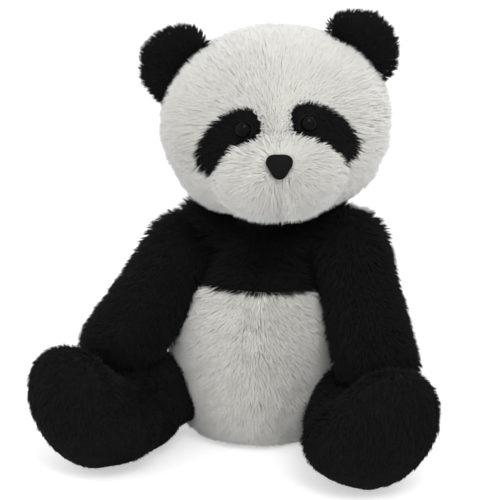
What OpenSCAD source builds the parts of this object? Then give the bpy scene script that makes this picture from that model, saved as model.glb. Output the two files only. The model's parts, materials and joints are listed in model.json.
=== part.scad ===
// Seated plush panda: sewn fur-fabric panels over fibre stuffing, with moulded eyes and nose.
// Millimetres. +Z is up, the panda faces -Y and its left side is +X.
// The origin is the middle of the flat seat, on the surface it sits on.

/* [Fabric] */
// Thickness of the fur fabric, backing and pile together
fabric_t = 5; // [3:0.5:6]
// Thickness of the lighter fur fabric of the ears and tail
light_fabric_t = 4; // [3:0.5:5]
// Gap left between sewn pieces that meet
gap = 0.4; // [0.2:0.05:0.6]

/* [Torso] */
// Height of the neck opening above the seat
torso_h = 149; // [130:1:200]
// Largest radius, at the belly
belly_r = 66; // [48:1:75]
// Height of the largest radius
belly_z = 45; // [36:1:56]
// Radius of the flat seat
seat_r = 44; // [30:1:46]
// Outer radius of the neck opening
neck_r = 26; // [24:0.5:30]
// How far the body slouches to its left, at the neck opening
torso_lean = 6.5; // [-10:0.5:10]
// Height of the seam between the dark yoke and the pale lower body
yoke_z = 114; // [95:1:135]
// Height of the seam round the seat
seat_seam_z = 10; // [6:1:16]
// Thickness of the pellet bag in the seat
pellet_bag_h = 26; // [18:1:32]

/* [Head] */
// Width of the head
head_w = 154; // [125:1:190]
// Front-to-back depth of the head
head_d = 134; // [110:1:165]
// Height of the head
head_h = 131; // [108:1:160]
// How far the head's middle sits in front of the neck
head_forward = 6; // [0:1:12]
// Height of the head's underside above the neck opening
neck_gap = 13; // [12:0.5:18]
// Radius of the wad of stuffing that carries the head
neck_ball_r = 20; // [18:0.5:20.5]
// How far the head is turned to its left in the resting pose
head_turn = 13; // [-20:1:20]
// How far the head leans to its right in the resting pose
head_lean = 5; // [-8:1:8]

/* [Face] */
// Width of the muzzle
muzzle_w = 86; // [66:1:98]
// Height of the muzzle
muzzle_h = 62; // [52:1:66]
// Front-to-back depth of the muzzle's form
muzzle_d = 72; // [60:1:86]
// How far the muzzle stands out of the head
muzzle_out = 18; // [12:1:24]
// Drop of the muzzle's middle below the head's middle
muzzle_drop = 25; // [22:1:28]
// Length of an eye patch
patch_l = 50; // [44:1:60]
// Width of an eye patch
patch_w = 28; // [24:1:36]
// Slope of an eye patch, outer end down
patch_slope = 45; // [30:1:60]
// Sideways place of an eye patch's middle
patch_x = 34; // [32:1:42]
// Height of an eye patch's middle above the head's middle
patch_z = 0; // [-4:1:6]
// Sideways place of an eye
eye_x = 22; // [20:0.5:27]
// Height of an eye above the head's middle
eye_z = 9.5; // [8:0.5:15]
// Diameter of an eye's dome
eye_d = 11; // [8:0.5:14]
// Width of the nose
nose_w = 20; // [15:0.5:26]
// Height of the nose
nose_h = 17; // [13:0.5:22]
// How far the nose stands out of the muzzle
nose_out = 4.5; // [3:0.5:7]
// Height of the nose's middle above the muzzle's middle
nose_rise = 12; // [8:0.5:15]

/* [Eye and nose fixings] */
// Diameter of the moulded shanks
shank_d = 4.6; // [3.6:0.1:6]
// Length of the moulded shanks behind their seats
shank_l = 17; // [15:0.5:20]
// Height of a locking ring round a shank
shank_ring = 0.5; // [0.3:0.1:0.7]
// Diameter of the push-on washers
washer_d = 18; // [14:0.5:22]
// Thickness of the push-on washers
washer_t = 1.6; // [1.2:0.1:2.2]
// Number of spring fingers cut in a washer
washer_fingers = 6; // [4:1:8]
// Clearance between a washer's bore and its shank
washer_clear = 0.05; // [0.02:0.01:0.1]

/* [Ears] */
// Width of an ear along its seam
ear_w = 60; // [48:1:70]
// Height of an ear above its seam
ear_h = 33; // [26:1:40]
// Thickness of an ear, both layers together
ear_t = 13; // [11:0.5:15]
// Height of an ear's seam round the head, above level
ear_angle = 36; // [30:1:45]
// How far an ear can fold either way
ear_fold = 20; // [10:1:25]
// Radius of the sewn roll at an ear's root
ear_root_r = 5; // [4.5:0.25:5.5]

/* [Arms] */
// Radius of an arm at the shoulder
shoulder_r = 26; // [22:0.5:33]
// Radius of an arm at the paw
paw_r = 29; // [22:0.5:33]
// Drop of the shoulder below the neck opening
shoulder_drop = 13; // [10:1:18]
// How much higher the left shoulder sits than the right, in the resting slouch
shoulder_tilt = 8; // [-10:1:10]
// How far the shoulder is sewn into the torso
shoulder_sink = 5; // [1:0.5:8]
// How far the shoulder sits in front of the torso's middle
shoulder_forward = 14; // [8:1:16]
// Space between a resting paw and the thigh under it
paw_rest = 1.2; // [0.8:0.1:3]
// How far along the thigh a paw rests
paw_along = 36; // [26:1:42]
// Lean of a resting paw to the outside of the thigh
paw_lean = 30; // [26:1:42]

/* [Legs] */
// Radius of a leg
leg_r = 26; // [23:0.5:33]
// Distance from hip to the middle of the foot
leg_l = 100; // [84:1:118]
// Turn of each leg away from straight ahead
leg_splay = 37; // [28:1:42]
// Turn of the hip round the torso, away from straight ahead
hip_splay = 50; // [44:1:56]
// How far the hip is sewn into the torso
hip_sink = 4; // [2:0.5:6]
// Width of a foot
foot_w = 80; // [64:1:90]
// Height of a foot
foot_h = 88; // [80:1:112]
// Thickness of a foot, heel side to sole
foot_t = 54; // [46:1:64]
// Width of the heel, low in the foot
heel_w = 78; // [64:1:102]
// Height of the heel
heel_h = 56; // [46:1:64]
// Thickness of the heel, along the leg
heel_t = 70; // [56:1:84]
// How far the heel sits behind the middle of the foot
heel_back = 10; // [0:1:14]
// Lean of the toes to the outside
foot_lean = 30; // [0:1:36]
// Distance of the sole's seam in front of the foot's middle
sole_seam = 9; // [6:0.5:12]

/* [Tail] */
// Diameter of the tail
tail_d = 34; // [26:1:42]
// Height of the tail's middle above the seat
tail_z = 38; // [32:1:46]

/* [Hidden] */
$fn = 64;
space = 900;
arc_step = 10;
black_fur = "#141415";
white_fur = "#e9e7e0";
fibre = "#f4f2ec";
plastic = "#101011";
nylon = "#d8d4c8";
canvas = "#cfc6b0";

sides = [1, -1];
eye_flange_t = 1.2;
shank_rings = 4;
shank_ring_pitch = 2.2;
nose_corner_r = 3.5;
nose_side_out = 1;
nose_tip_out = 4;
eye_dome_share = 0.8;
washer_slit = 1;
ear_root_share = 0.72;
tail_bed = tail_d / 4;
ear_layer_split = gap / 2;

// Torso: two half ellipsoids that share the belly's circle
torso_up = (torso_h - belly_z) / sqrt(1 - pow(neck_r / belly_r, 2));
torso_down = belly_z / sqrt(1 - pow(seat_r / belly_r, 2));
function torso_r_at(z) =
    belly_r * sqrt(1 - pow((z - belly_z) / (z > belly_z ? torso_up : torso_down), 2));
function lean_at(z) = [torso_lean * z / torso_h, 0, 0];

// Head
head_half = [head_w, head_d, head_h] / 2;
neck_z = torso_h + neck_gap / 2;
neck_pivot = [0, 0, neck_z] + lean_at(neck_z);
head_z = torso_h + neck_gap + head_h / 2;
head_middle = [0, -head_forward, head_z] + lean_at(head_z);
muzzle_half = [muzzle_w, muzzle_d, muzzle_h] / 2;
muzzle_middle = [0, muzzle_d / 2 - head_d / 2 - muzzle_out, -muzzle_drop];

// Legs
hip_z = leg_r + gap;
hip_out = torso_r_at(hip_z) - hip_sink;
function leg_way(side) = [side * sin(leg_splay), -cos(leg_splay), 0];
function leg_outside(side) = [side * cos(leg_splay), sin(leg_splay), 0];
function hip(side) =
    [side * hip_out * sin(hip_splay), -hip_out * cos(hip_splay), hip_z] + lean_at(hip_z);
foot_z = norm([foot_h * cos(foot_lean), foot_w * sin(foot_lean)]) / 2 + gap - hip_z;
heel_z = heel_h / 2 + gap - hip_z;
heel_in = (foot_z - heel_z) * tan(foot_lean);
pellet_bag_r = hip_out - leg_r - fabric_t - 4 * gap;

// Arms: each runs from its shoulder to a paw that rests on the thigh
shoulder_z = torso_h - shoulder_drop;
arm_max_r = max(shoulder_r, paw_r);
shoulder_out = torso_r_at(shoulder_z) + shoulder_r - shoulder_sink;
function shoulder(side) = [side * shoulder_out, -shoulder_forward, shoulder_z + side * shoulder_tilt / 2]
    + lean_at(shoulder_z);
function paw(side) = hip(side) + paw_along * leg_way(side)
    + (leg_r + paw_r + paw_rest) * (cos(paw_lean) * [0, 0, 1] + sin(paw_lean) * leg_outside(side));

// Helpers

// The half of space on one side of a plane through a point on an axis
module beyond(axis, at) {
    translate(axis * at) along(axis) translate([0, 0, space / 2]) cube(space, center = true);
}

// Turns children so that their +Z runs along v
module along(v) {
    rotate([0, acos(v.z / norm(v)), atan2(v.y, v.x)]) children();
}

module ellipsoid(half) {
    scale(half) sphere(1);
}

// Mirrors children to the right side when side is -1
module on_side(side) {
    if (side > 0) children();
    else mirror([1, 0, 0]) children();
}

// Outline of a round limb: two balls and the straight flank between them
function limb_outline(r0, r1, l) = concat(
    [for (a = [0 : arc_step : 90]) [r0 * sin(a), -r0 * cos(a)]],
    [for (a = [90 : arc_step : 180]) [r1 * sin(a), l - r1 * cos(a)]]
);

// Torso

// Slouches children sideways, more with height
module slouch() {
    multmatrix([[1, 0, torso_lean / torso_h, 0], [0, 1, 0, 0], [0, 0, 1, 0]]) children();
}

module upper_torso(inset) {
    intersection() {
        slouch() translate([0, 0, belly_z]) ellipsoid([belly_r, belly_r, torso_up] - inset * [1, 1, 1]);
        beyond([0, 0, 1], belly_z);
        beyond([0, 0, -1], -torso_h);
    }
}

module lower_torso(inset) {
    intersection() {
        slouch() translate([0, 0, belly_z]) ellipsoid([belly_r, belly_r, torso_down] - inset * [1, 1, 1]);
        beyond([0, 0, -1], -belly_z);
        beyond([0, 0, 1], inset);
    }
}

// Dents where the arms and legs are sewn on and press in at rest
module arm_dents(inset) {
    for (side = sides) translate(shoulder(side)) {
        sphere(shoulder_r + gap + inset);
        along(arm_way(side)) cylinder(r = arm_max_r + 2 * gap + inset, h = norm(arm_way(side)));
    }
}

module leg_dents(inset) {
    for (side = sides) at_hip(side) leg_form(-gap - inset);
}

module neck_seat() {
    translate(neck_pivot) sphere(neck_ball_r + gap);
}

module yoke(front) {
    color(black_fur) difference() {
        intersection() {
            upper_torso(0);
            beyond([0, 0, 1], yoke_z + gap / 2);
            beyond([0, front ? -1 : 1, 0], gap / 2);
        }
        difference() {
            upper_torso(fabric_t);
            arm_dents(fabric_t);
        }
        arm_dents(0);
        slouch() translate([0, 0, torso_h - fabric_t])
            cylinder(r = neck_r - fabric_t, h = 2 * fabric_t);
    }
}

module lower_body(front) {
    color(white_fur) difference() {
        intersection() {
            union() {
                upper_torso(0);
                lower_torso(0);
            }
            beyond([0, 0, -1], gap / 2 - yoke_z);
            beyond([0, 0, 1], seat_seam_z + gap / 2);
            beyond([0, front ? -1 : 1, 0], gap / 2);
        }
        difference() {
            union() {
                upper_torso(fabric_t);
                lower_torso(fabric_t);
            }
            arm_dents(fabric_t);
            if (front) leg_dents(fabric_t);
        }
        arm_dents(0);
        if (front) leg_dents(0);
    }
}

module seat_panel() {
    color(white_fur) difference() {
        intersection() {
            lower_torso(0);
            beyond([0, 0, -1], gap / 2 - seat_seam_z);
        }
        difference() {
            lower_torso(fabric_t);
            leg_dents(fabric_t);
        }
        leg_dents(0);
    }
}

module pellet_bag_form(extra) {
    translate([0, 0, fabric_t + gap + pellet_bag_h / 2] + lean_at(hip_z))
        ellipsoid([pellet_bag_r, pellet_bag_r, pellet_bag_h / 2] + extra * [1, 1, 1]);
}

module pellet_bag() {
    color(canvas) pellet_bag_form(0);
}

module torso_stuffing() {
    color(fibre) difference() {
        union() {
            upper_torso(fabric_t + gap);
            lower_torso(fabric_t + gap);
        }
        arm_dents(fabric_t + gap);
        leg_dents(fabric_t + gap);
        neck_seat();
        pellet_bag_form(gap);
    }
}

// Tail

module tail_place() {
    translate([0, belly_r + tail_bed, tail_z] + lean_at(tail_z)) rotate([-90, 0, 0]) children();
}

// The tail's flat root lies against the lower back
tail_root = gap / 2 - tail_bed;

module tail_panel() {
    color(white_fur) tail_place() difference() {
        sphere(d = tail_d);
        sphere(d = tail_d - 2 * light_fabric_t);
        beyond([0, 0, -1], -tail_root);
    }
}

module tail_stuffing() {
    color(fibre) tail_place() difference() {
        sphere(d = tail_d - 2 * (light_fabric_t + gap));
        beyond([0, 0, -1], -tail_root);
    }
}

// Head, in its own frame at the middle of the head

module in_head() {
    translate(head_middle) rotate([0, -head_lean, head_turn]) children();
}

module head_form(inset) {
    ellipsoid(head_half - inset * [1, 1, 1]);
}

module muzzle_form(inset) {
    translate(muzzle_middle) ellipsoid(muzzle_half - inset * [1, 1, 1]);
}

// Puts children on the front of an ellipsoid at (x, z), their +Z along the way out
module on_front(middle, half, x, z) {
    y = -half.y * sqrt(1 - pow(x / half.x, 2) - pow(z / half.z, 2));
    translate(middle + [x, y, z]) along([x / pow(half.x, 2), y / pow(half.y, 2), z / pow(half.z, 2)])
        children();
}

module at_eye(side) {
    on_front([0, 0, 0], head_half, side * eye_x, eye_z) children();
}

module at_nose() {
    on_front(muzzle_middle, muzzle_half, 0, nose_rise) children();
}

// Prism of an eye patch's oval outline, through the front of the head
module patch_prism(side, extra) {
    translate([side * patch_x, 0, patch_z]) rotate([90, side * patch_slope, 0])
        scale([patch_l / 2 + extra, patch_w / 2 + extra, head_d]) cylinder(r = 1, h = 1);
}

module front_fabric() {
    difference() {
        head_form(0);
        head_form(fabric_t);
        beyond([0, 1, 0], -gap / 2);
    }
}

module face_panel() {
    color(white_fur) difference() {
        in_head() difference() {
            front_fabric();
            muzzle_form(-gap);
            for (side = sides) {
                patch_prism(side, gap);
                ear_slot(side);
            }
        }
        neck_seat();
    }
}

module head_back_panel() {
    color(white_fur) difference() {
        in_head() difference() {
            head_form(0);
            head_form(fabric_t);
            beyond([0, -1, 0], -gap / 2);
            for (side = sides) ear_slot(side);
        }
        neck_seat();
    }
}

module muzzle_panel() {
    color(white_fur) in_head() difference() {
        muzzle_form(0);
        muzzle_form(fabric_t);
        head_form(fabric_t);
        at_nose() shank_hole();
    }
}

module eye_patch(side) {
    color(black_fur) in_head() difference() {
        intersection() {
            front_fabric();
            patch_prism(side, 0);
        }
        muzzle_form(-gap);
        at_eye(side) shank_hole();
    }
}

module head_stuffing() {
    color(fibre) difference() {
        in_head() difference() {
            union() {
                head_form(fabric_t + gap);
                muzzle_form(fabric_t + gap);
            }
            for (side = sides) {
                at_eye(side) fixing_room(head_half.y);
                ear_slot(side);
            }
            at_nose() fixing_room(muzzle_half.z);
        }
        neck_seat();
    }
}

module neck_stuffing() {
    color(fibre) translate(neck_pivot) sphere(neck_ball_r);
}

// Eyes and nose: moulded shanks pushed through the fabric and held by washers

shank_r = shank_d / 2;
// A flat washer clears the curved inside of the fabric by this much
function washer_sink(bend_r) = bend_r - sqrt(pow(bend_r, 2) - pow(washer_d / 2, 2));
function washer_depth(bend_r) = fabric_t + gap + washer_sink(bend_r - fabric_t);

module shank() {
    translate([0, 0, -shank_l]) cylinder(r = shank_r - shank_ring, h = shank_l);
    for (i = [1 : shank_rings])
        translate([0, 0, -shank_l + i * shank_ring_pitch])
            cylinder(r1 = shank_r - shank_ring, r2 = shank_r, h = shank_ring_pitch / 2);
}

module shank_hole() {
    translate([0, 0, -shank_l - gap]) cylinder(r = shank_r + gap, h = 2 * shank_l);
}

// Room in the stuffing for a shank and its washer
module fixing_room(bend_r) {
    shank_hole();
    translate([0, 0, -washer_depth(bend_r) - washer_t - gap])
        cylinder(d = washer_d + 2 * gap, h = washer_t + washer_depth(bend_r));
}

module eye(side) {
    color(plastic) in_head() at_eye(side) translate([0, 0, gap / 2]) {
        cylinder(d = eye_d, h = eye_flange_t);
        translate([0, 0, eye_flange_t]) intersection() {
            scale([1, 1, eye_dome_share]) sphere(d = eye_d);
            beyond([0, 0, 1], 0);
        }
        shank();
    }
}

// Dished push-on washer: spring fingers round a bore that grips the shank
module washer(bend_r) {
    color(nylon) translate([0, 0, -washer_depth(bend_r) - washer_t]) difference() {
        cylinder(d = washer_d, h = washer_t);
        translate([0, 0, -washer_t]) cylinder(r = shank_r + washer_clear, h = 3 * washer_t);
        for (i = [0 : washer_fingers - 1]) rotate(i * 360 / washer_fingers)
            translate([shank_r, 0, washer_t / 2])
                cube([washer_d / 2 - shank_r, washer_slit, 2 * washer_t], center = true);
    }
}

module eye_washer(side) {
    in_head() at_eye(side) washer(head_half.y);
}

// Rounded triangle, point down
module nose_outline() {
    offset(r = nose_corner_r, $fn = 20) offset(delta = -nose_corner_r)
        polygon([
            [-nose_w / 2 - nose_side_out, nose_h / 2],
            [nose_w / 2 + nose_side_out, nose_h / 2],
            [0, -nose_h / 2 - nose_tip_out]
        ]);
}

module nose() {
    color(plastic) in_head() {
        difference() {
            translate(muzzle_middle) intersection() {
                translate([0, 0, nose_rise]) rotate([90, 0, 0]) linear_extrude(muzzle_d) nose_outline();
                translate([0, -nose_out, 0]) ellipsoid(muzzle_half);
            }
            muzzle_form(-gap / 2);
        }
        at_nose() translate([0, 0, nose_out / 2]) shank();
    }
}

module nose_washer() {
    in_head() at_nose() washer(muzzle_half.z);
}

// Ears: two domed layers sewn edge to edge, with a roll at the root in a slit of the head

ear_way = [cos(ear_angle), 0, sin(ear_angle)];
ear_reach = 1 / sqrt(pow(ear_way.x / head_half.x, 2) + pow(ear_way.z / head_half.z, 2));
ear_root_l = ear_w * ear_root_share;
// Each layer is a shallow cap of a large ball
ear_r = ear_w / 2;
ear_bulge = ear_t / 2;
ear_ball_r = (pow(ear_r, 2) + pow(ear_bulge, 2)) / (2 * ear_bulge);
ear_lift = ear_t / 2 * tan(ear_fold) + gap;
// Slope of the head under an ear's seam, and the way out from the head there in the ear frame
ear_tilt = atan2(ear_way.z / pow(head_half.z, 2), ear_way.x / pow(head_half.x, 2)) - ear_angle;
ear_edge = [cos(ear_tilt), -sin(ear_tilt), 0];

// Ear frame: +X is up the ear, +Y is along the seam and +Z faces the back of the head
module at_ear(side) {
    on_side(side) translate(ear_way * ear_reach) rotate([0, -ear_angle, 0]) rotate([-90, 0, 0])
        children();
}

module ear_slot(side) {
    at_ear(side) rotate([90, 0, 0])
        cylinder(r = ear_root_r + gap, h = ear_root_l + 2 * gap, center = true);
}

module ear_layer(side, back) {
    color(black_fur) in_head() at_ear(side) intersection() {
        union() {
            rotate([90, 0, 0]) cylinder(r = ear_root_r, h = ear_root_l, center = true);
            intersection() {
                translate([ear_h - ear_r, 0, (back ? 1 : -1) * (ear_bulge - ear_ball_r)])
                    sphere(ear_ball_r, $fn = 200);
                beyond(ear_edge, ear_lift);
            }
        }
        beyond([0, 0, back ? 1 : -1], ear_layer_split);
    }
}

// Arms

function arm_way(side) = paw(side) - shoulder(side);

module arm_form(side, inset) {
    translate(shoulder(side)) along(arm_way(side)) rotate_extrude()
        polygon(limb_outline(shoulder_r - inset, paw_r - inset, norm(arm_way(side))));
}

// The lower, inner half of an arm or the upper, outer half, parted along its seams
module arm_half(side, inner) {
    translate(shoulder(side)) along(arm_way(side))
        beyond([inner ? 1 : -1, 0, 0], gap / 2);
}

module arm_panel(side, inner) {
    color(black_fur) intersection() {
        difference() {
            arm_form(side, 0);
            arm_form(side, fabric_t);
        }
        arm_half(side, inner);
    }
}

module arm_stuffing(side) {
    color(fibre) arm_form(side, fabric_t + gap);
}

// Legs: a tube from the hip, a foot across its end and a sole on the foot

// Leg frame: +Z runs down the leg, +Y is up and +X is outside
module at_hip(side) {
    translate(hip(side)) on_side(side) rotate([90, 0, leg_splay]) children();
}

module leg_form(inset) {
    rotate_extrude() polygon(limb_outline(leg_r - inset, leg_r - inset, leg_l - foot_t / 2));
}

// A tall toe end and a low, full heel
module foot_form(inset) {
    translate([0, foot_z, leg_l]) rotate([0, 0, -foot_lean])
        ellipsoid([foot_w, foot_h, foot_t] / 2 - inset * [1, 1, 1]);
    translate([-heel_in, heel_z, leg_l - heel_back])
        ellipsoid([heel_w, heel_h, heel_t] / 2 - inset * [1, 1, 1]);
}

module leg_panel(side) {
    color(black_fur) at_hip(side) difference() {
        leg_form(0);
        leg_form(fabric_t);
        foot_form(-gap);
    }
}

module foot_fabric() {
    difference() {
        foot_form(0);
        foot_form(fabric_t);
    }
}

module foot_panel(side) {
    color(black_fur) at_hip(side) difference() {
        foot_fabric();
        leg_form(fabric_t);
        beyond([0, 0, 1], leg_l + sole_seam - gap / 2);
    }
}

module sole_panel(side) {
    color(black_fur) at_hip(side) intersection() {
        foot_fabric();
        beyond([0, 0, 1], leg_l + sole_seam + gap / 2);
    }
}

module leg_stuffing(side) {
    color(fibre) at_hip(side) {
        leg_form(fabric_t + gap);
        foot_form(fabric_t + gap);
    }
}

face_panel();
head_back_panel();
muzzle_panel();
eye_patch(1);  // left_eye_patch
eye_patch(-1);  // right_eye_patch
eye(1);  // left_eye
eye(-1);  // right_eye
eye_washer(1);  // left_eye_washer
eye_washer(-1);  // right_eye_washer
nose();
nose_washer();
head_stuffing();
neck_stuffing();
ear_layer(1, false);  // left_ear_front
ear_layer(1, true);  // left_ear_back
ear_layer(-1, false);  // right_ear_front
ear_layer(-1, true);  // right_ear_back
yoke(true);  // yoke_front_panel
yoke(false);  // yoke_back_panel
lower_body(true);  // belly_panel
lower_body(false);  // lower_back_panel
seat_panel();
torso_stuffing();
pellet_bag();
tail_panel();
tail_stuffing();
arm_panel(1, false);  // left_arm_outer_panel
arm_panel(1, true);  // left_arm_inner_panel
arm_stuffing(1);  // left_arm_stuffing
arm_panel(-1, false);  // right_arm_outer_panel
arm_panel(-1, true);  // right_arm_inner_panel
arm_stuffing(-1);  // right_arm_stuffing
leg_panel(1);  // left_leg_panel
foot_panel(1);  // left_foot_panel
sole_panel(1);  // left_sole_panel
leg_stuffing(1);  // left_leg_stuffing
leg_panel(-1);  // right_leg_panel
foot_panel(-1);  // right_foot_panel
sole_panel(-1);  // right_sole_panel
leg_stuffing(-1);  // right_leg_stuffing
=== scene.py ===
# %% [markdown]
# # A plush panda in long-pile fur
# The toy is sewn from black and white fur fabric, stuffed with fibre, and sits on its seat
# with its legs splayed. The CAD model gives every place and size. This script loads it as
# a fixed frame, and then makes what the CAD leaves plain: stuffed skins, and the pile on them.

import json
import math

import bmesh
import bpy
import numpy as np
from mathutils import Matrix, Vector


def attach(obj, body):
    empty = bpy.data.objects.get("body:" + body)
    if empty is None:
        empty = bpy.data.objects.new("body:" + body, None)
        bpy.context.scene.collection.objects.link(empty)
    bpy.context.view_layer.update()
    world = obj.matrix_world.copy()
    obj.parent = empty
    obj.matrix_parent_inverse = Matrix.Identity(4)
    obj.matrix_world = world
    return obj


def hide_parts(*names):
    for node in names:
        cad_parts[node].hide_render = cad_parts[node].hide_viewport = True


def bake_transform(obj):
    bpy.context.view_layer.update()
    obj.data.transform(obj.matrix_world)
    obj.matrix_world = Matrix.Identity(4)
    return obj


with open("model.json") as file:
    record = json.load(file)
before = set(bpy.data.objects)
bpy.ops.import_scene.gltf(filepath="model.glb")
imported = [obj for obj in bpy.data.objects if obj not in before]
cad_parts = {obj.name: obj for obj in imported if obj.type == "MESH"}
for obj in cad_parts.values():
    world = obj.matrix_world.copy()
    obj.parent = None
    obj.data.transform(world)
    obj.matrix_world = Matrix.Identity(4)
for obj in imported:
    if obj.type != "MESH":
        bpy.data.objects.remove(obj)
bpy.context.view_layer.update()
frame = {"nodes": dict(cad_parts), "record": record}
scene = bpy.context.scene
MM = 0.001
SIDES = {"left": 1, "right": -1}

# %% [markdown]
# ## Where the joints are
# Every limb turns about a seam. The record keeps those places, so the skins start from them.
# Other sizes repeat the CAD's driving dimensions, in millimetres. Where the CAD's soft solids
# are plainer than the toy, the skins have a fullness of their own: cheeks, shoulders, calves,
# long heels and thighs that are gathered in at the hip seam.

# %% Joints and driving sizes
JOINTS = {j["name"]: j for j in frame["record"]["behaviour"]["joints"]}


def joint_place(name):
    return Vector(JOINTS[name]["pos_m"]) / MM


NECK = joint_place("head_turn")
HIP = {side: joint_place(f"{side}_leg_drop") for side in SIDES}
SHOULDER = {side: joint_place(f"{side}_arm_raise") for side in SIDES}

TORSO_H, BELLY_R, BELLY_Z, SEAT_R, NECK_R = 149, 66, 45, 44, 26
TORSO_LEAN, YOKE_Z = 6.5, 114
YOKE_HALF, YOKE_DROP = Vector((100, 62, 28)) / 2, 6
SLOPE_PLACE, SLOPE_HALF = (40, -4, 149), (24, 24, 14)
HEAD_HALF = Vector((154, 134, 131)) / 2
CHEEK_R, CHEEK_PLACE = 36, (34, 0, -24)
HEAD_FORWARD, NECK_GAP, HEAD_TURN, HEAD_LEAN = 6, 13, 13, 5
MUZZLE_HALF = Vector((86, 72, 62)) / 2
MUZZLE_SEAM = Vector((78, 72, 62)) / 2
MUZZLE_OUT, MUZZLE_DROP = 18, 25
PATCH_HALF, PATCH_SLOPE, PATCH_PLACE, PATCH_TUCK = (25, 14), 45, (34, 0), 2.5
EYE_PLACE, EYE_R = (22, 9.5), 5.5
NOSE_W, NOSE_H, NOSE_OUT, NOSE_RISE = 20, 17, 4.5, 12
EAR_W, EAR_H, EAR_T, EAR_ANGLE = 60, 33, 13, 36
SHOULDER_R, PAW_R, PAW_ALONG, PAW_LEAN, PAW_REST = 26, 29, 36, 30, 1.2
PAW_PRESS = 7
LEG_R, LEG_L, LEG_SPLAY, FOOT_IN = 26, 100, 37, 15
HIP_GATHER, HIP_OUT = 17, 5
FOOT_HALF = Vector((74, 94, 54)) / 2
HEEL_HALF = Vector((82, 58, 82)) / 2
HEEL_BACK, FOOT_LEAN = 15, 36
TAIL_R, TAIL_Z = 17, 38
GAP = 0.4


def turn(axis, degrees):
    return Matrix.Rotation(math.radians(degrees), 4, axis)


def lean_at(z):
    return Vector((TORSO_LEAN * z / TORSO_H, 0, 0))


head_z = TORSO_H + NECK_GAP + HEAD_HALF.z
head_middle = Vector((0, -HEAD_FORWARD, head_z)) + lean_at(head_z)
HEAD = Matrix.Translation(head_middle) @ turn("Z", HEAD_TURN) @ turn("Y", -HEAD_LEAN)
IN_HEAD = HEAD.inverted()
MUZZLE = Vector((0, MUZZLE_HALF.y - HEAD_HALF.y - MUZZLE_OUT, -MUZZLE_DROP))
MIRROR = {"left": Matrix.Identity(4), "right": Matrix.Diagonal((-1, 1, 1, 1))}
FORWARD = Vector((0, -1, 0))


def leg_place(side):
    """Where a leg and its foot point: +Z along it, +X outwards and +Y up, ending at the CAD's foot."""
    along = turn("Z", LEG_SPLAY) @ FORWARD * LEG_L
    ankle = Matrix.Translation(HIP[side]) @ MIRROR[side] @ Matrix.Translation(along)
    return ankle @ turn("Z", LEG_SPLAY - FOOT_IN) @ turn("X", 90) @ Matrix.Translation((0, 0, -LEG_L))


LEG = {side: leg_place(side) for side in SIDES}
print("head middle, mm:", [round(c, 1) for c in HEAD.translation])

# %% [markdown]
# ## Node trees in a few lines
# Materials and the fur both use node trees. Small helpers add a node, set it and wire its
# inputs in one call, so that each tree reads from top to bottom like a recipe.


# %% Helpers for node trees
def add(tree, kind, inputs=None, **settings):
    """A new node with its settings and inputs."""
    node = tree.nodes.new(kind)
    for key, value in settings.items():
        setattr(node, key, value)
    for name, value in (inputs or {}).items():
        if isinstance(name, int):
            socket = node.inputs[name]
        else:
            socket = next(s for s in node.inputs if s.enabled and s.name == name)
        if isinstance(value, bpy.types.NodeSocket):
            tree.links.new(value, socket)
        else:
            socket.default_value = value
    return node


def out(node, name=None):
    """A node's first output, or the one with this name."""
    return next(s for s in node.outputs if s.enabled and name in (None, s.name))


def calc(tree, operation, *values):
    """A number worked out from other numbers."""
    return out(add(tree, "ShaderNodeMath", dict(enumerate(values)), operation=operation))


def mix_colour(tree, factor, first, second):
    inputs = {"Factor": factor, "A": first, "B": second}
    return out(add(tree, "ShaderNodeMix", inputs, data_type="RGBA"))


def set_inputs(node, values):
    for name, value in values.items():
        node.inputs[name].default_value = value


def new_group(name, kind, inputs, outputs):
    """An empty node group and its two end nodes."""
    tree = bpy.data.node_groups.new(name, kind)
    for in_out, sockets in (("INPUT", inputs), ("OUTPUT", outputs)):
        for label, socket_kind in sockets.items():
            tree.interface.new_socket(label, in_out=in_out, socket_type="NodeSocket" + socket_kind)
    return tree, add(tree, "NodeGroupInput"), add(tree, "NodeGroupOutput")


print("node helpers are ready")

# %% [markdown]
# ## The colour of pile
# A tuft of pile is darker at its root, where less light reaches; the group paints that shade
# into the colour. Each tuft differs a little from the next. Both fur colours need that, so it
# is one shader group. Each strand keeps its own number across the UV map and its root-to-tip
# run up it.

# %% Shader groups
PILE_UV = "OFBake"
TONE_CURVE, ROOT_ROUGH, TIP_ROUGH = 0.7, 0.9, 0.6
GRAIN_DETAIL = 4.0
pile_tone, group_in, group_out = new_group(
    "pile_tone",
    "ShaderNodeTree",
    {"Pile": "Vector", "Root": "Color", "Tip": "Color", "Spread": "Float"},
    {"Colour": "Color", "Roughness": "Float"},
)
place = add(pile_tone, "ShaderNodeSeparateXYZ", {"Vector": out(group_in, "Pile")})
# Painted shade: the colour darkens from the tip down to the strand's root.
ramp = calc(pile_tone, "POWER", out(place, "Y"), TONE_CURVE)
shaded_root_to_tip = mix_colour(pile_tone, ramp, out(group_in, "Root"), out(group_in, "Tip"))
off_middle = calc(pile_tone, "SUBTRACT", out(place, "X"), 0.5)
brighter = calc(pile_tone, "MULTIPLY_ADD", off_middle, out(group_in, "Spread"), 1.0)
tone = add(pile_tone, "ShaderNodeHueSaturation", {"Color": shaded_root_to_tip, "Value": brighter})
run = {"Value": out(place, "Y"), "To Min": ROOT_ROUGH, "To Max": TIP_ROUGH}
rough = add(pile_tone, "ShaderNodeMapRange", run)
pile_tone.links.new(out(tone), group_out.inputs["Colour"])
pile_tone.links.new(out(rough), group_out.inputs["Roughness"])

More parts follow.
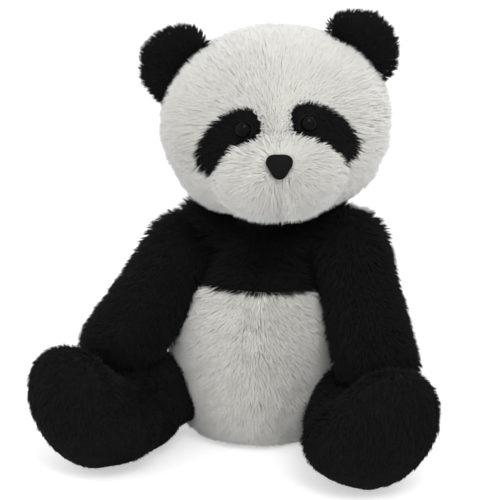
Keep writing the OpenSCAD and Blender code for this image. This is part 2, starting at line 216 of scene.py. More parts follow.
speckle, group_in, group_out = new_group(
    "speckle",
    "ShaderNodeTree",
    {"Light": "Color", "Dark": "Color", "Scale": "Float"},
    {"Colour": "Color", "Height": "Float"},
)
where = add(speckle, "ShaderNodeTexCoord")
noise = {"Vector": out(where, "Object"), "Scale": out(group_in, "Scale"), "Detail": GRAIN_DETAIL}
grain = add(speckle, "ShaderNodeTexNoise", noise)
mixed = mix_colour(speckle, out(grain, "Fac"), out(group_in, "Dark"), out(group_in, "Light"))
speckle.links.new(mixed, group_out.inputs["Colour"])
speckle.links.new(out(grain, "Fac"), group_out.inputs["Height"])
print("shader groups:", pile_tone.name, speckle.name)

# %% [markdown]
# ## Fur, fibre and plastic
# Fur fabric is matt, with a faint bloom where light grazes the white pile. Fibre, cloth and
# mouldings are plain stuff with a fine grain, so one recipe with other values makes them all.
# The knitted backing under the pile is a third: it is white or black by an attribute of the skin.

# %% Fur, cloth and plastic materials
FUR_SHINE, RELIEF = 0.1, 0.0004


def new_material(name):
    material = bpy.data.materials.new(name)
    material.use_nodes = True
    return material, material.node_tree, material.node_tree.nodes["Principled BSDF"]


def grey(value, warm=0.0):
    return (value, value * (1 - warm / 2), value * (1 - warm), 1)


def fur_material(name, root, tip, spread, sheen):
    material, tree, surface = new_material(name)
    pile = out(add(tree, "ShaderNodeUVMap", uv_map=PILE_UV))
    values = {"Pile": pile, "Root": root, "Tip": tip, "Spread": spread}
    shade = add(tree, "ShaderNodeGroup", values, node_tree=pile_tone)
    tree.links.new(out(shade, "Colour"), surface.inputs["Base Color"])
    tree.links.new(out(shade, "Roughness"), surface.inputs["Roughness"])
    matt = {"Sheen Weight": sheen, "Specular IOR Level": FUR_SHINE, "Diffuse Roughness": 1.0}
    set_inputs(surface, matt)
    return material


def add_relief(tree, surface, height, strength):
    bump = add(tree, "ShaderNodeBump", {"Height": height, "Strength": strength, "Distance": RELIEF})
    tree.links.new(out(bump), surface.inputs["Normal"])


def speckled_material(name, light, dark, scale, roughness, bump, shine=0.5):
    material, tree, surface = new_material(name)
    values = {"Light": light, "Dark": dark, "Scale": scale}
    grain = add(tree, "ShaderNodeGroup", values, node_tree=speckle)
    tree.links.new(out(grain, "Colour"), surface.inputs["Base Color"])
    add_relief(tree, surface, out(grain, "Height"), bump)
    set_inputs(surface, {"Roughness": roughness, "Specular IOR Level": shine})
    return material


# Root colours are darker than tip colours: painted shade at the foot of the pile.
WHITE_SHADED_ROOT, WHITE_TIP = (0.84, 0.825, 0.775, 1), (0.94, 0.935, 0.9, 1)
BLACK_SHADED_ROOT, BLACK_TIP = (0.0075, 0.0075, 0.008, 1), (0.0125, 0.0125, 0.0135, 1)
PILE = {
    "white_fur": fur_material("white_pile", WHITE_SHADED_ROOT, WHITE_TIP, spread=0.08, sheen=0.3),
    "black_fur": fur_material("black_pile", BLACK_SHADED_ROOT, BLACK_TIP, spread=0.4, sheen=0.0),
}
FIBRE = speckled_material("stuffing_fibre", grey(0.86), grey(0.66), scale=260, roughness=0.9, bump=0.8)
BAG_CLOTH = speckled_material(
    "pellet_cloth", grey(0.62, 0.2), grey(0.5, 0.25), scale=900, roughness=0.85, bump=0.5
)
WASHER_NYLON = speckled_material(
    "natural_nylon", grey(0.74, 0.1), grey(0.66, 0.12), scale=300, roughness=0.4, bump=0.1
)
EYE_PLASTIC = speckled_material(
    "polished_black", grey(0.003), grey(0.001), scale=120, roughness=0.04, bump=0.0, shine=0.09
)
NOSE_PLASTIC = speckled_material(
    "matt_black", grey(0.006), grey(0.004), scale=900, roughness=0.7, bump=0.3, shine=0.1
)
KNIT_SCALE, KNIT_ROUGH, KNIT_RELIEF = 700, 0.95, 0.4


def backing_material():
    """The knitted ground under the pile."""
    material, tree, surface = new_material("fur_backing")
    dark = add(tree, "ShaderNodeAttribute", attribute_name="dark")
    knit = {"Light": grey(0.88, 0.04), "Dark": grey(0.8, 0.05), "Scale": KNIT_SCALE}
    grain = add(tree, "ShaderNodeGroup", knit, node_tree=speckle)
    is_dark = calc(tree, "GREATER_THAN", out(dark, "Fac"), 0.0)
    ground = mix_colour(tree, is_dark, out(grain, "Colour"), grey(0.004))
    tree.links.new(ground, surface.inputs["Base Color"])
    set_inputs(surface, {"Roughness": KNIT_ROUGH})
    add_relief(tree, surface, out(grain, "Height"), KNIT_RELIEF)
    return material


BACKING = backing_material()
print("materials:", len(bpy.data.materials))

# %% [markdown]
# ## Stuffed skins
# Under the pile every part is a bag of knitted backing, full of fibre. Each starts as a few
# balls and tubes on the CAD's own sizes, a little smaller because the pile stands on it.

# %% Balls and limbs
PILE_BED, BALL_LEVEL, TUBE_SIDES = 3.0, 5, 48


def ball(bm, place, half):
    """A ball with these half sizes, at a place."""
    shape = place @ Matrix.Diagonal((*half, 1))
    return bmesh.ops.create_icosphere(bm, subdivisions=BALL_LEVEL, radius=1, matrix=shape)["verts"]


def limb(bm, start, end, r0, r1):
    """A tapered tube with round ends."""
    way = end - start
    middle = Matrix.Translation((start + end) / 2) @ way.to_track_quat("Z", "Y").to_matrix().to_4x4()
    ball(bm, Matrix.Translation(start), (r0, r0, r0))
    ball(bm, Matrix.Translation(end), (r1, r1, r1))
    bmesh.ops.create_cone(
        bm, cap_ends=True, segments=TUBE_SIDES, radius1=r0, radius2=r1, depth=way.length, matrix=middle
    )


def put_in_scene(name, bm):
    """A bmesh in millimetres becomes an object in metres, at the origin."""
    bmesh.ops.scale(bm, vec=(MM, MM, MM), verts=bm.verts)
    mesh = bpy.data.meshes.new(name)
    bm.to_mesh(mesh)
    bm.free()
    obj = bpy.data.objects.new(name, mesh)
    scene.collection.objects.link(obj)
    return obj


print("bed of the pile, mm:", PILE_BED)

# %% [markdown]
# ### Sewing and stuffing
# A voxel remesh joins the shapes into one skin. A short cloth simulation with air pressure
# then rounds it and pulls the creases tight, as stuffing does.

# %% Sewing and the stuffing simulation
VOXEL, SMOOTHING = 4.5, 0.5
STUFF_FRAMES, STUFF_PRESSURE, STUFF_CAP = 14, 2.5, 2.5


def set_solid(obj):
    """Applies every modifier, so that the shape is in the mesh."""
    graph = bpy.context.evaluated_depsgraph_get()
    mesh = bpy.data.meshes.new_from_object(obj.evaluated_get(graph))
    obj.modifiers.clear()
    old, obj.data = obj.data, mesh
    bpy.data.meshes.remove(old)
    mesh.name = obj.name


def corners(mesh):
    flat = np.empty(len(mesh.vertices) * 3)
    mesh.vertices.foreach_get("co", flat)
    return flat.reshape(-1, 3)


def sew(name, bm, cutters=(), ease=3):
    """Joins the shapes in bm into one smooth skin, less the room that its neighbours need."""
    skin = put_in_scene(name, bm)

    def knit(voxel):
        remesh = skin.modifiers.new("Remesh", "REMESH")
        remesh.mode, remesh.voxel_size = "VOXEL", voxel * MM

    if cutters:
        knit(VOXEL / 2)
    for cutter in cutters:
        dent = skin.modifiers.new("Dent", "BOOLEAN")
        dent.operation, dent.object, dent.solver = "DIFFERENCE", cutter, "EXACT"
    knit(VOXEL)
    smooth = skin.modifiers.new("Smooth", "SMOOTH")
    smooth.factor, smooth.iterations = SMOOTHING, ease
    set_solid(skin)
    return skin


def stuff(skins):
    """Blows every skin up together for a few frames, then keeps the shape."""
    rest = {skin.name: corners(skin.data) for skin in skins}
    for skin in skins:
        cloth = skin.modifiers.new("Stuffing", "CLOTH")
        cloth.settings.use_pressure = True
        cloth.settings.uniform_pressure_force = STUFF_PRESSURE
        cloth.settings.effector_weights.gravity = 0
        cloth.point_cache.frame_end = STUFF_FRAMES
    for number in range(1, STUFF_FRAMES + 1):
        scene.frame_set(number)
    for skin in skins:
        set_solid(skin)
    scene.frame_set(1)
    for skin in skins:
        moved = corners(skin.data) - rest[skin.name]
        far = np.linalg.norm(moved, axis=1, keepdims=True)
        moved *= np.minimum(1, STUFF_CAP * MM / np.maximum(far, 1e-9))
        skin.data.vertices.foreach_set("co", (rest[skin.name] + moved).ravel())
        finer = skin.modifiers.new("Finer", "SUBSURF")
        finer.levels = finer.render_levels = 1
        set_solid(skin)
        skin.data.shade_smooth()
        print(skin.name, "grew", round(float(far.max()) / MM, 2), "mm,", len(skin.data.polygons), "faces")


print("voxel", VOXEL, "mm,", STUFF_FRAMES, "frames of stuffing")

# %% [markdown]
# ### Head, ears and neck
# The head is one stuffed bag: a wide ball, the muzzle and two cheeks. Ears are flat discs,
# cupped forward and cut straight at the seam. The neck is a short tube that is mostly hidden,
# but it closes the gap when the head nods.

# %% Head, ears and neck
EAR_BED, EAR_FACE_BED, EAR_SEAM, EAR_CUP = 2, 0.5, 2.0, 5
NECK_REACH = 14


def ear_place(side):
    way = Vector((math.cos(math.radians(EAR_ANGLE)), 0, math.sin(math.radians(EAR_ANGLE))))
    reach = 1 / math.hypot(way.x / HEAD_HALF.x, way.z / HEAD_HALF.z)
    return HEAD @ MIRROR[side] @ Matrix.Translation(way * reach) @ turn("Y", -EAR_ANGLE) @ turn("X", -90)


EAR = {side: ear_place(side) for side in SIDES}
bed = Vector((PILE_BED, PILE_BED, PILE_BED))
SKINS = {}

bm = bmesh.new()
ball(bm, HEAD, HEAD_HALF - bed / 2)
ball(bm, HEAD @ Matrix.Translation(MUZZLE), MUZZLE_HALF - bed)
for side in SIDES:
    ball(bm, HEAD @ MIRROR[side] @ Matrix.Translation(CHEEK_PLACE), 3 * [CHEEK_R - PILE_BED])
bmesh.ops.recalc_face_normals(bm, faces=bm.faces)
SKINS["head"] = sew("head_skin", bm, ease=20)

ear_half = (EAR_W / 2 - EAR_BED, EAR_W / 2 - EAR_BED, EAR_T / 2 - EAR_FACE_BED)
for side in SIDES:
    bm = bmesh.new()
    for vert in ball(bm, Matrix.Translation((EAR_H - EAR_W / 2, 0, 0)), ear_half):
        vert.co.x = max(vert.co.x, -EAR_SEAM)
        vert.co.z -= EAR_CUP * (vert.co.y / (EAR_W / 2)) ** 2
    bmesh.ops.transform(bm, matrix=EAR[side], verts=bm.verts)
    bmesh.ops.recalc_face_normals(bm, faces=bm.faces)
    SKINS[f"{side}_ear"] = sew(f"{side}_ear_skin", bm)

bm = bmesh.new()
reach = Vector((0, 0, NECK_REACH))
limb(bm, NECK - reach, NECK + reach, NECK_R - PILE_BED, NECK_R - PILE_BED)
SKINS["neck"] = sew("neck_gusset", bm)
print({part: len(skin.data.polygons) for part, skin in SKINS.items()}, "faces before stuffing")

# %% [markdown]
# ### Arms and legs
# An arm is one tapered bag that hangs from the shoulder and rests its paw on the thigh. A leg
# is gathered in at the hip, fills out at thigh and calf, and ends in a long heel and a toe that
# leans outwards. The same shapes, a little larger, cut room for the limbs in the torso.


# %% Arms and legs
def paw(side):
    splay = math.radians(LEG_SPLAY)
    hand = SIDES[side]
    way = Vector((hand * math.sin(splay), -math.cos(splay), 0))
    outside = Vector((hand * math.cos(splay), math.sin(splay), 0))
    tilt = math.radians(PAW_LEAN)
    lift = math.cos(tilt) * Vector((0, 0, 1)) + math.sin(tilt) * outside
    return HIP[side] + PAW_ALONG * way + (LEG_R + PAW_R + PAW_REST) * lift


PAW = {side: paw(side) for side in SIDES}


def arm_shape(bm, side, grow):
    press = (PAW[side] - SHOULDER[side]).normalized() * PAW_PRESS
    limb(bm, SHOULDER[side], PAW[side] + press, SHOULDER_R + grow, PAW_R + grow)


def foot_places():
    lean = math.radians(FOOT_LEAN)
    hip_z = LEG_R + GAP
    toe = math.hypot(FOOT_HALF.y * math.cos(lean), FOOT_HALF.x * math.sin(lean)) + GAP - hip_z
    heel = HEEL_HALF.y + GAP - hip_z
    return Vector((0, toe, LEG_L)), Vector(((heel - toe) * math.tan(lean), heel, LEG_L - HEEL_BACK))


TOE, HEEL = foot_places()
CALF_PLACE, CALF_HALF = (-8, 1, 52), (33, 27, 44)
THIGH_PLACE, THIGH_HALF = (-3, 7, 24), (27, 29, 34)


def leg_shape(bm, side, grow, foot=True):
    end = LEG[side] @ Vector((0, 0, LEG_L - FOOT_HALF.z))
    out_of_hip = MIRROR[side].to_3x3() @ Vector((HIP_OUT, 0, 0))
    limb(bm, HIP[side] + out_of_hip, end, HIP_GATHER + grow, LEG_R + grow)
    if foot:
        more = Vector((grow, grow, grow))
        ball(bm, LEG[side] @ Matrix.Translation(TOE) @ turn("Z", -FOOT_LEAN), FOOT_HALF + more)
        ball(bm, LEG[side] @ Matrix.Translation(HEEL), HEEL_HALF + more)
        ball(bm, LEG[side] @ Matrix.Translation(CALF_PLACE), CALF_HALF)
        ball(bm, LEG[side] @ Matrix.Translation(THIGH_PLACE), THIGH_HALF)
        bmesh.ops.recalc_face_normals(bm, faces=bm.faces)


cutters = []
for side in SIDES:
    bm = bmesh.new()
    arm_shape(bm, side, -PILE_BED)
    SKINS[f"{side}_arm"] = sew(f"{side}_arm_skin", bm)
    bm = bmesh.new()
    leg_shape(bm, side, -PILE_BED)
    SKINS[f"{side}_leg"] = sew(f"{side}_leg_skin", bm, ease=10)
    for shape, options in ((arm_shape, {}), (leg_shape, {"foot": False})):
        bm = bmesh.new()
        shape(bm, side, GAP, **options)
        cutters.append(sew(f"{side}_room", bm))
print("paws, mm:", {side: [round(c, 1) for c in PAW[side]] for side in SIDES})

# %% [markdown]
# ### Torso and tail
# The torso is an egg, flat where it sits and fuller below, because the pellets in the seat
# press it out. Stuffed shoulders join the arms under the head. The simulation then runs once
# for all skins together.

# %% Torso and tail
POLE_LIMIT = 0.2
torso_up = (TORSO_H - BELLY_Z) / math.sqrt(1 - (NECK_R / BELLY_R) ** 2)
torso_down = BELLY_Z / math.sqrt(1 - (SEAT_R / BELLY_R) ** 2)
bm = bmesh.new()
for vert in ball(bm, Matrix.Identity(4), (1, 1, 1)):
    half = Vector((BELLY_R, BELLY_R, torso_up if vert.co.z > 0 else torso_down)) - bed
    z = max(BELLY_Z + half.z * vert.co.z, PILE_BED)
    low = max(0, -vert.co.z)
    wide = math.sqrt((1 - low**3) / max(1 - low**2, POLE_LIMIT))
    vert.co = Vector((half.x * wide * vert.co.x, half.y * wide * vert.co.y, z)) + lean_at(z)
yoke_z = TORSO_H - YOKE_DROP
ball(bm, Matrix.Translation(Vector((0, 0, yoke_z)) + lean_at(yoke_z)), YOKE_HALF)
for side in SIDES:
    slope = MIRROR[side] @ Vector(SLOPE_PLACE) + lean_at(yoke_z)
    ball(bm, Matrix.Translation(slope), SLOPE_HALF)
SKINS["torso"] = sew("torso_skin", bm, cutters)
for cutter in cutters:
    bpy.data.objects.remove(cutter)

TAIL = Vector((0, BELLY_R + TAIL_R / 2, TAIL_Z)) + lean_at(TAIL_Z)
bm = bmesh.new()
ball(bm, Matrix.Translation(TAIL), Vector((TAIL_R, TAIL_R, TAIL_R)) - bed)
SKINS["tail"] = sew("tail_skin", bm)

stuff(list(SKINS.values()))

# %% [markdown]
# ### Fibre in the limbs
# Stuffing takes the shape of the bag that it fills. The limbs have fuller skins than the CAD,
# so their fibre is made from the skins, a little smaller, and stands for the CAD's stuffing.

# %% Fibre in the arms and legs
FIBRE_IN = 3


def fill(part):
    """Fibre in the shape of a skin, inside it."""
    bm = bmesh.new()
    bm.from_mesh(SKINS[part].data)
    bmesh.ops.scale(bm, vec=(1 / MM, 1 / MM, 1 / MM), verts=bm.verts)
    for vert in bm.verts:
        vert.co -= vert.normal * FIBRE_IN
    fibre = sew(f"{part}_fibre", bm)
    fibre.data.shade_smooth()
    fibre.data.materials.append(FIBRE)
    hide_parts(f"{part}_stuffing")
    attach(fibre, part)
    print(fibre.name, len(fibre.data.polygons), "faces")


for side in SIDES:
    fill(f"{side}_arm")
    fill(f"{side}_leg")

# %% [markdown]
# ## Which skin stands for which panel
# Each skin rides on its CAD body and hides the plain panels it stands for. Its material
# reads the attribute "dark", which the next cells fill in.

PANELS = {
    "head": ["face_panel", "head_back_panel", "muzzle_panel", "left_eye_patch", "right_eye_patch"],
    "torso": ["yoke_front_panel", "yoke_back_panel", "belly_panel", "lower_back_panel", "seat_panel"],
    "tail": ["tail_panel"],
}
for side in SIDES:
    PANELS[f"{side}_ear"] = [f"{side}_ear_front", f"{side}_ear_back"]
    PANELS[f"{side}_arm"] = [f"{side}_arm_outer_panel", f"{side}_arm_inner_panel"]
    PANELS[f"{side}_leg"] = [f"{side}_leg_panel", f"{side}_foot_panel", f"{side}_sole_panel"]
BODY = {part: part for part in SKINS} | {"tail": "torso"}


def move_with(obj, part):
    if part == "neck":
        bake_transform(obj)
    else:
        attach(obj, BODY[part])


for part, skin in SKINS.items():
    skin.data.materials.append(BACKING)
    if part in PANELS:
        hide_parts(*PANELS[part])
print("skins:", len(SKINS))

# %% [markdown]
# ## One strand, many times
# A strand of pile is a thin, bent, three-sided spindle: a root, a girdle and a tip. It has
# six triangles, because it is repeated many thousand times. Its own "along" and "across"
# numbers go to the UV map later.


# %% The strand
def new_strand(name, bend, girdle):
    bm = bmesh.new()
    bmesh.ops.create_cone(
        bm, cap_ends=False, segments=3, radius1=0.5, radius2=0, depth=1 - girdle,
        matrix=Matrix.Translation((0, 0, (1 + girdle) / 2)),
    )
    bmesh.ops.remove_doubles(bm, verts=bm.verts, dist=1e-5)
    ring = [edge for edge in bm.edges if edge.is_boundary]
    root = bmesh.ops.extrude_edge_only(bm, edges=ring)["geom"]
    root = [part for part in root if isinstance(part, bmesh.types.BMVert)]
    bmesh.ops.pointmerge(bm, verts=root, merge_co=(0, 0, 0))
    bmesh.ops.recalc_face_normals(bm, faces=bm.faces)
    along = bm.verts.layers.float.new("along")
    across = bm.verts.layers.float.new("across")
    for vert in bm.verts:
        vert[along] = vert.co.z
        on_axis = vert.co.xy.length < 0.1
        vert[across] = 0.5 if on_axis else 0.5 + math.atan2(vert.co.y, vert.co.x) / (2 * math.pi)
        vert.co.x += bend * vert.co.z**2
    mesh = bpy.data.meshes.new(name)
    bm.to_mesh(mesh)
    bm.free()
    mesh.shade_smooth()
    return bpy.data.objects.new(name, mesh)


STRAND_BEND, STRAND_GIRDLE = 0.35, 0.4
STRAND = new_strand("strand", STRAND_BEND, STRAND_GIRDLE)
STRAND_FACES = len(STRAND.data.polygons)
print("strand triangles:", STRAND_FACES)

# %% [markdown]
# ## Combing and growing
# Hair curves would be quicker to comb, but they leave no mesh behind. A geometry node group
# scatters strands over a skin instead: it reads the direction of the lay and the length of
# the pile from the skin's attributes, tousles them with smooth noise so that strands gather
# in tufts, and turns every strand into real triangles.

# %% The fur node group
EDGE_BLUR = (-0.0006, 0.0006)
LENGTH_SPREAD, WIDTH_SPREAD, SHADE_SPREAD = (0.7, 1.15), (0.75, 1.25), (0.0, 0.96)
SALT = {"length": 1, "width": 2, "shade": 3, "edge": 5}
CLUMPS_IN_TUFT, STRAY, FLOOR_CLEAR = 2.0, 0.15, 0.0003
ACROSS_SPAN, SKIN_SHARE = 0.04, 0.68
STYLE = ("Rise", "Tousle", "Tuft", "Clump")
MEASURES = ("Density", "Length", "Width") + STYLE
FUR, group_in, group_out = new_group(
    "fur",
    "GeometryNodeTree",
    {"Skin": "Geometry", "Strand": "Object", "Seed": "Int"} | dict.fromkeys(MEASURES, "Float"),
    {"Fur": "Geometry"},
)


def field(kind, name):
    return out(add(FUR, "GeometryNodeInputNamedAttribute", {"Name": name}, data_type=kind))


def vector(operation, first, second=None, scale=None):
    inputs = {0: first}
    if second is not None:
        inputs[1] = second
    if scale is not None:
        inputs["Scale"] = scale
    return out(add(FUR, "ShaderNodeVectorMath", inputs, operation=operation))


def number(operation, *values):
    return calc(FUR, operation, *values)


def store(geometry, name, value, kind, domain):
    values = {"Geometry": geometry, "Name": name, "Value": value}
    return out(add(FUR, "GeometryNodeStoreNamedAttribute", values, data_type=kind, domain=domain))


def random_number(spread, use):
    """A number between two ends, with a seed of its own for each use."""
    seed = number("ADD", out(group_in, "Seed"), SALT[use])
    values = {"Min": spread[0], "Max": spread[1], "Seed": seed}
    return out(add(FUR, "FunctionNodeRandomValue", values, data_type="FLOAT"))


print("fur inputs:", len(group_in.outputs) - 1)

# %% [markdown]
# ### Where strands stand
# Points are scattered at random on the skin, and those outside the piece are taken away. The
# edge is blurred by a fraction of a millimetre, so that two colours of fur run into each other.

# %% Scatter the roots
scatter = add(
    FUR,
    "GeometryNodeDistributePointsOnFaces",
    {"Mesh": out(group_in, "Skin"), "Density": out(group_in, "Density"), "Seed": out(group_in, "Seed")},
    distribute_method="RANDOM",
)
place = out(add(FUR, "GeometryNodeInputPosition"))
outside = number("LESS_THAN", field("FLOAT", "grows"), random_number(EDGE_BLUR, "edge"))
gone = {"Geometry": out(scatter, "Points"), "Selection": outside}
points = add(FUR, "GeometryNodeDeleteGeometry", gone, domain="POINT")
print("nodes so far:", len(FUR.nodes))

# %% [markdown]
# ### How strands lie
# A strand's direction is a sum: the skin's normal, the combed lay, a swirl that it shares with
# its neighbours, a pull towards the middle of its clump, and a little of its own. Smooth noise
# gives the swirl, and a texture of cells gives the clumps.

# %% Direction and size
tufts = add(FUR, "ShaderNodeTexNoise", {"Vector": place, "Scale": out(group_in, "Tuft"), "Detail": 1.0})
clump_scale = number("MULTIPLY", out(group_in, "Tuft"), CLUMPS_IN_TUFT)
clumps = add(FUR, "ShaderNodeTexVoronoi", {"Vector": place, "Scale": clump_scale})
stray = add(
    FUR,
    "FunctionNodeRandomValue",
    {"Min": (-1, -1, -1), "Max": (1, 1, 1), "Seed": out(group_in, "Seed")},
    data_type="FLOAT_VECTOR",
)
swirl = vector("SUBTRACT", out(tufts, "Color"), (0.5, 0.5, 0.5))
lay = field("FLOAT_VECTOR", "lay")
way = vector("ADD", vector("SCALE", out(scatter, "Normal"), scale=out(group_in, "Rise")), lay)
way = vector("ADD", way, vector("SCALE", swirl, scale=out(group_in, "Tousle")))
to_clump = vector("SUBTRACT", out(clumps, "Position"), place)
gather = number("DIVIDE", out(group_in, "Clump"), out(group_in, "Length"))
way = vector("ADD", way, vector("SCALE", to_clump, scale=gather))
way = vector("NORMALIZE", vector("ADD", way, vector("SCALE", out(stray), scale=STRAY)))
stand = add(FUR, "FunctionNodeAlignRotationToVector", {"Vector": way}, axis="Z")
spin = {"Rotation": out(stand), "Vector": lay}
comb = add(FUR, "FunctionNodeAlignRotationToVector", spin, axis="X", pivot_axis="Z")
length = number("MULTIPLY", out(group_in, "Length"), field("FLOAT", "pile"))
length = number("MULTIPLY", length, random_number(LENGTH_SPREAD, "length"))
width = number("MULTIPLY", out(group_in, "Width"), random_number(WIDTH_SPREAD, "width"))
size = out(add(FUR, "ShaderNodeCombineXYZ", {"X": width, "Y": width, "Z": length}))
print("nodes so far:", len(FUR.nodes))

# %% [markdown]
# ### Strands as triangles
# Every strand becomes real triangles, and pile that would pass through the floor lies on it.
# A thin strand on its own shades hard, so each borrows most of the skin's normal. The fur
# then takes the light as one soft body.

# %% Triangles, UV map and shading
model = add(FUR, "GeometryNodeObjectInfo", {"Object": out(group_in, "Strand"), "As Instance": True})
strands = add(
    FUR,
    "GeometryNodeInstanceOnPoints",
    {"Points": out(points), "Instance": out(model, "Geometry"), "Rotation": out(comb), "Scale": size},
)
marked = store(out(strands), "shade", random_number(SHADE_SPREAD, "shade"), "FLOAT", "INSTANCE")
outward = store(marked, "outward", out(scatter, "Normal"), "FLOAT_VECTOR", "INSTANCE")
real = add(FUR, "GeometryNodeRealizeInstances", {"Geometry": outward})
split = add(FUR, "ShaderNodeSeparateXYZ", {"Vector": place})
height = number("MAXIMUM", out(split, "Z"), FLOOR_CLEAR)
on_floor = add(FUR, "ShaderNodeCombineXYZ", {"X": out(split, "X"), "Y": out(split, "Y"), "Z": height})
resting = add(FUR, "GeometryNodeSetPosition", {"Geometry": out(real), "Position": out(on_floor)})
across = number("MULTIPLY_ADD", field("FLOAT", "across"), ACROSS_SPAN, field("FLOAT", "shade"))
pile_uv = out(add(FUR, "ShaderNodeCombineXYZ", {"X": across, "Y": field("FLOAT", "along")}))
mapped = store(out(resting), PILE_UV, pile_uv, "FLOAT2", "CORNER")
own = vector("SCALE", out(add(FUR, "GeometryNodeInputNormal")), scale=1 - SKIN_SHARE)
shared = vector("SCALE", field("FLOAT_VECTOR", "outward"), scale=SKIN_SHARE)
soft = add(FUR, "GeometryNodeSetMeshNormal", {"Mesh": mapped}, mode="FREE", domain="POINT")
FUR.links.new(vector("NORMALIZE", vector("ADD", own, shared)), soft.inputs["Custom Normal"])
FUR.links.new(out(soft), group_out.inputs["Fur"])
SOCKET = {item.name: item.identifier for item in FUR.interface.items_tree if item.in_out == "INPUT"}
print("fur nodes:", len(FUR.nodes))

# %% [markdown]
# ### Growing one piece
# A skin is combed once: functions of place say which way the pile lies, how long it is and
# where it is black. Each piece of fur then grows on a part of the skin, and becomes an object
# of its own that moves with the same body.


# %% Growing one piece of fur
def set_field(mesh, name, values, kind="FLOAT"):
    attribute = mesh.attributes.get(name) or mesh.attributes.new(name, kind, "POINT")
    key = "vector" if kind == "FLOAT_VECTOR" else "value"
    attribute.data.foreach_set(key, np.ravel(values).astype(np.float32))


def comb_skin(part, lay, pile, dark, flat=lambda place: 1.0):
    """Writes the lay, the length of the pile and the dark areas on a skin.

    Each is a function of place in millimetres. A lay longer than 1 presses the pile flatter.
    """
    mesh = SKINS[part].data
    places = [vert.co / MM for vert in mesh.vertices]
    lays = []
    for vert, place in zip(mesh.vertices, places):
        way = lay(place)
        way = way - vert.normal * way.dot(vert.normal)
        lays.append(way.normalized() * flat(place) if way.length > 1e-6 else Vector((0, 0, -1)))
    set_field(mesh, "lay", lays, "FLOAT_VECTOR")
    set_field(mesh, "pile", [pile(place) for place in places])
    set_field(mesh, "dark", [dark(place) * MM for place in places])


MM2 = MM * MM
PLAIN = {"width": 0.6, "rise": 0.9, "tousle": 0.9, "tuft": 110, "clump": 0.6}
counts = {}


def grow(name, part, slot, where, mm, per_mm2, seed, **style):
    """Fur where the function of place is above nothing, so many mm long and strands in each mm2."""
    style = PLAIN | style
    skin = SKINS[part]
    set_field(skin.data, "grows", [where(vert.co / MM) * MM for vert in skin.data.vertices])
    fur = skin.modifiers.new("Fur", "NODES")
    fur.node_group = FUR
    values = {label: style[label.lower()] for label in STYLE}
    values |= {"Strand": STRAND, "Seed": seed, "Density": per_mm2 / MM2}
    values |= {"Length": mm * MM, "Width": style["width"] * MM}
    for label, value in values.items():
        fur[SOCKET[label]] = value
    graph = bpy.context.evaluated_depsgraph_get()
    mesh = bpy.data.meshes.new_from_object(skin.evaluated_get(graph))
    skin.modifiers.remove(fur)
    mesh.name = name
    mesh.materials.clear()
    mesh.materials.append(PILE[slot])
    piece = bpy.data.objects.new(name, mesh)
    scene.collection.objects.link(piece)
    move_with(piece, part)
    counts[name] = len(mesh.polygons)
    print(name, counts[name] // STRAND_FACES, "strands,", counts[name], "triangles")


print("plain pile:", PLAIN)

# %% [markdown]
# ## The head
# The muzzle is let into the white face, and the eye patches are let in black. Each area is a
# function of place that tells how far inside its seam a point lies, so a seam is where it is 0.

# %% Areas of the head
SEAM_SPAN, PATCH_LAP, BRIDGE_UP = 40, 1, 4
EYE_CLEAR, NOSE_CLEAR = 0.5, 8


def head_part(place):
    return IN_HEAD @ place


def shape_at(point, half):
    return math.sqrt(sum((c / (h - PILE_BED)) ** 2 for c, h in zip(point, half)))


def on_muzzle(place):
    """Millimetres into the muzzle's area, and below nothing outside it."""
    point = head_part(place)
    return SEAM_SPAN * (shape_at(point, HEAD_HALF) - shape_at(point - MUZZLE, MUZZLE_SEAM))


def on_patch(place):
    point = head_part(place)
    x, z = abs(point.x) - PATCH_PLACE[0] + PATCH_TUCK, point.z - PATCH_PLACE[1]
    slope = math.radians(PATCH_SLOPE)
    u = x * math.cos(slope) - z * math.sin(slope)
    v = x * math.sin(slope) + z * math.cos(slope)
    inside = PATCH_HALF[1] * (1 - math.hypot(u / PATCH_HALF[0], v / PATCH_HALF[1])) + PATCH_LAP
    return min(inside, -point.y, -on_muzzle(place))


def front_of(half, x, z):
    return Vector((x, -half.y * math.sqrt(1 - (x / half.x) ** 2 - (z / half.z) ** 2), z))


EYE = {s: HEAD @ front_of(HEAD_HALF, hand * EYE_PLACE[0], EYE_PLACE[1]) for s, hand in SIDES.items()}
NOSE = HEAD @ (MUZZLE + front_of(MUZZLE_HALF, 0, NOSE_RISE))
BRIDGE = HEAD @ Vector((0, -HEAD_HALF.y, BRIDGE_UP))
DOWN = Vector((0, 0, -1))


def from_eyes(place):
    return min((place - EYE[side]).length for side in SIDES)


def clear_of_face(area):
    """The area less the places of the eyes and nose, where no pile stands."""
    return lambda p: min(area(p), from_eyes(p) - EYE_R - EYE_CLEAR, (p - NOSE).length - NOSE_CLEAR)


print("nose, mm:", [round(c, 1) for c in NOSE])

# %% [markdown]
# ### Combing the head
# Fur on a toy's head is combed away from the bridge of the nose, the muzzle's away from the
# nose, and a patch's away from its eye. At the back it lies flat and points down. Pile is short
# round the eyes and the nose, so that they stay in sight, and a little fuller on the left cheek,
# as in the photograph. Stitches draw the skin in under the nose.

# %% Lay and length on the head
# Shares of the pile: the first one, the last one, and the two values between which it changes.
NOSE_PILE, PATCH_PILE, FACE_PILE = (0.55, 1.0, 9, 25), (0.45, 0.8, 7, 19), (0.4, 1.0, 12, 34)
FULL_CHEEK, FLAT_BACK, DOWN_BACK = (1.0, 1.3, 40, 65), (1.0, 1.9, -40, 10), (0.0, 1.0, -10, 50)
MUZZLE_HANG, PATCH_HANG, HEAD_HANG = 0.3, 0.2, 0.15
CREASE_DEPTH, CREASE_W, CREASE_RUN = 3.5, 3.5, 8


def share(value, first, last, low, high):
    """The first share up to the low value, the last from the high one, and a ramp in between."""
    return first + (last - first) * min(1, max(0, (value - low) / (high - low)))


